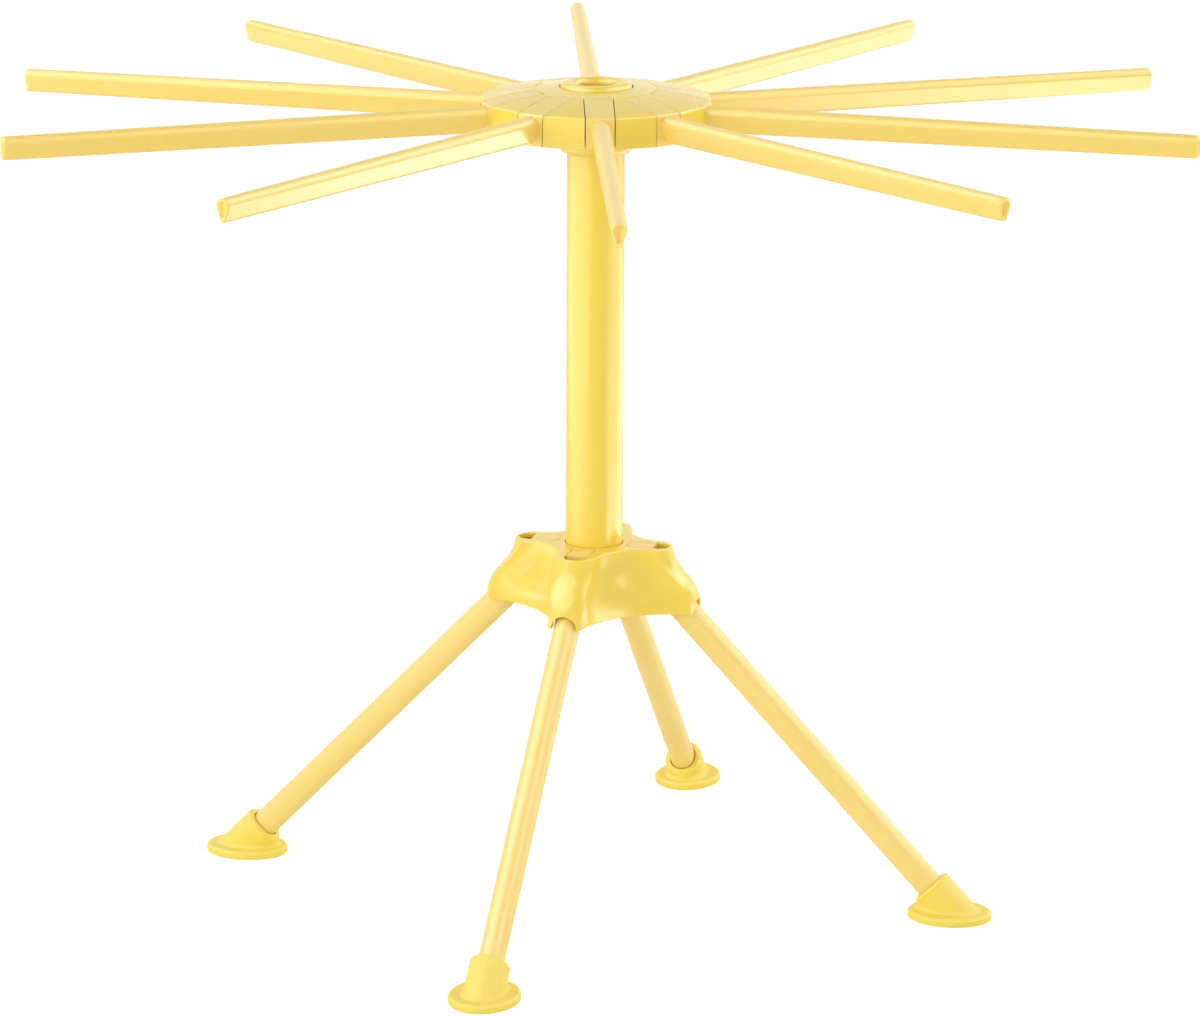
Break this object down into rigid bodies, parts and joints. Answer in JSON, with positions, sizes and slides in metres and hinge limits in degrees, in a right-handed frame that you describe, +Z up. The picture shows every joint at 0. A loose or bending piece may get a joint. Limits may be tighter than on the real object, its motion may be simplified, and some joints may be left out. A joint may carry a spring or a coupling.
{
  "type": "pasta drying rack",
  "caption": "Free-standing folding pasta drying rack: long tapering arms spread from a turning hub on a column with splayed legs on oval feet.",
  "frame": {"origin": "on the column's axis, at the level of the soles", "axes": "+Z up along the column, +X along arm_01 and leg_right"},
  "size_m": [0.42, 0.4008, 0.2898],
  "materials": {
    "rack_yellow": "satin moulded plastic, pale lemon yellow",
    "arm_yellow": "satin moulded plastic, pale lemon yellow",
    "leg_yellow": "satin moulded plastic, slightly warmer pale yellow",
    "carrier_yellow": "plain moulded plastic, pale yellow",
    "foot_yellow": "soft non-slip plastic, a little deeper yellow",
    "zinc_steel": "zinc-plated steel"
  },
  "bodies": {
    "stand": {"column_tube": "rack_yellow", "column_collar": "rack_yellow", "column_cap_ring": "rack_yellow", "housing_shell": "rack_yellow", "leg_carrier": "carrier_yellow", "housing_screws": "zinc_steel", "leg_pin_right": "zinc_steel", "leg_pin_back": "zinc_steel", "leg_pin_left": "zinc_steel", "leg_pin_front": "zinc_steel"},
    "head": {"hub_body": "rack_yellow", "hub_base_plate": "rack_yellow", "hub_screws": "zinc_steel", "arm_pin_01": "zinc_steel", "arm_pin_02": "zinc_steel", "arm_pin_03": "zinc_steel", "arm_pin_04": "zinc_steel", "arm_pin_05": "zinc_steel", "arm_pin_06": "zinc_steel", "arm_pin_07": "zinc_steel", "arm_pin_08": "zinc_steel", "arm_pin_09": "zinc_steel", "arm_pin_10": "zinc_steel"},
    "arm_01": {"arm_01": "arm_yellow"},
    "arm_02": {"arm_02": "arm_yellow"},
    "arm_03": {"arm_03": "arm_yellow"},
    "arm_04": {"arm_04": "arm_yellow"},
    "arm_05": {"arm_05": "arm_yellow"},
    "arm_06": {"arm_06": "arm_yellow"},
    "arm_07": {"arm_07": "arm_yellow"},
    "arm_08": {"arm_08": "arm_yellow"},
    "arm_09": {"arm_09": "arm_yellow"},
    "arm_10": {"arm_10": "arm_yellow"},
    "leg_right": {"leg_right": "leg_yellow", "foot_right": "foot_yellow"},
    "leg_back": {"leg_back": "leg_yellow", "foot_back": "foot_yellow"},
    "leg_left": {"leg_left": "leg_yellow", "foot_left": "foot_yellow"},
    "leg_front": {"leg_front": "leg_yellow", "foot_front": "foot_yellow"}
  },
  "joints": [
    {"name": "head_spin", "type": "hinge", "parent": "stand", "child": "head", "pos_m": [0, 0, 0.279], "axis": [0, 0, 1], "continuous": true},
    {"name": "arm_01_fold", "type": "hinge", "parent": "head", "child": "arm_01", "pos_m": [0.0265, 0, 0.279], "axis": [0, 1, 0], "range_deg": [0, 82]},
    {"name": "arm_02_fold", "type": "hinge", "parent": "head", "child": "arm_02", "pos_m": [0.02144, 0.01558, 0.279], "axis": [-0.5878, 0.809, 0], "range_deg": [0, 82]},
    {"name": "arm_03_fold", "type": "hinge", "parent": "head", "child": "arm_03", "pos_m": [0.00819, 0.0252, 0.279], "axis": [-0.9511, 0.309, 0], "range_deg": [0, 82]},
    {"name": "arm_04_fold", "type": "hinge", "parent": "head", "child": "arm_04", "pos_m": [-0.00819, 0.0252, 0.279], "axis": [-0.9511, -0.309, 0], "range_deg": [0, 82]},
    {"name": "arm_05_fold", "type": "hinge", "parent": "head", "child": "arm_05", "pos_m": [-0.02144, 0.01558, 0.279], "axis": [-0.5878, -0.809, 0], "range_deg": [0, 82]},
    {"name": "arm_06_fold", "type": "hinge", "parent": "head", "child": "arm_06", "pos_m": [-0.0265, 0, 0.279], "axis": [0, -1, 0], "range_deg": [0, 82]},
    {"name": "arm_07_fold", "type": "hinge", "parent": "head", "child": "arm_07", "pos_m": [-0.02144, -0.01558, 0.279], "axis": [0.5878, -0.809, 0], "range_deg": [0, 82]},
    {"name": "arm_08_fold", "type": "hinge", "parent": "head", "child": "arm_08", "pos_m": [-0.00819, -0.0252, 0.279], "axis": [0.9511, -0.309, 0], "range_deg": [0, 82]},
    {"name": "arm_09_fold", "type": "hinge", "parent": "head", "child": "arm_09", "pos_m": [0.00819, -0.0252, 0.279], "axis": [0.9511, 0.309, 0], "range_deg": [0, 82]},
    {"name": "arm_10_fold", "type": "hinge", "parent": "head", "child": "arm_10", "pos_m": [0.02144, -0.01558, 0.279], "axis": [0.5878, 0.809, 0], "range_deg": [0, 82]},
    {"name": "leg_right_fold", "type": "hinge", "parent": "stand", "child": "leg_right", "pos_m": [0.0187, 0, 0.119], "axis": [0, 1, 0], "range_deg": [0, 44]},
    {"name": "leg_back_fold", "type": "hinge", "parent": "stand", "child": "leg_back", "pos_m": [0, 0.0187, 0.119], "axis": [-1, 0, 0], "range_deg": [0, 44]},
    {"name": "leg_left_fold", "type": "hinge", "parent": "stand", "child": "leg_left", "pos_m": [-0.0187, 0, 0.119], "axis": [0, -1, 0], "range_deg": [0, 44]},
    {"name": "leg_front_fold", "type": "hinge", "parent": "stand", "child": "leg_front", "pos_m": [0, -0.0187, 0.119], "axis": [1, 0, 0], "range_deg": [0, 44]}
  ]
}
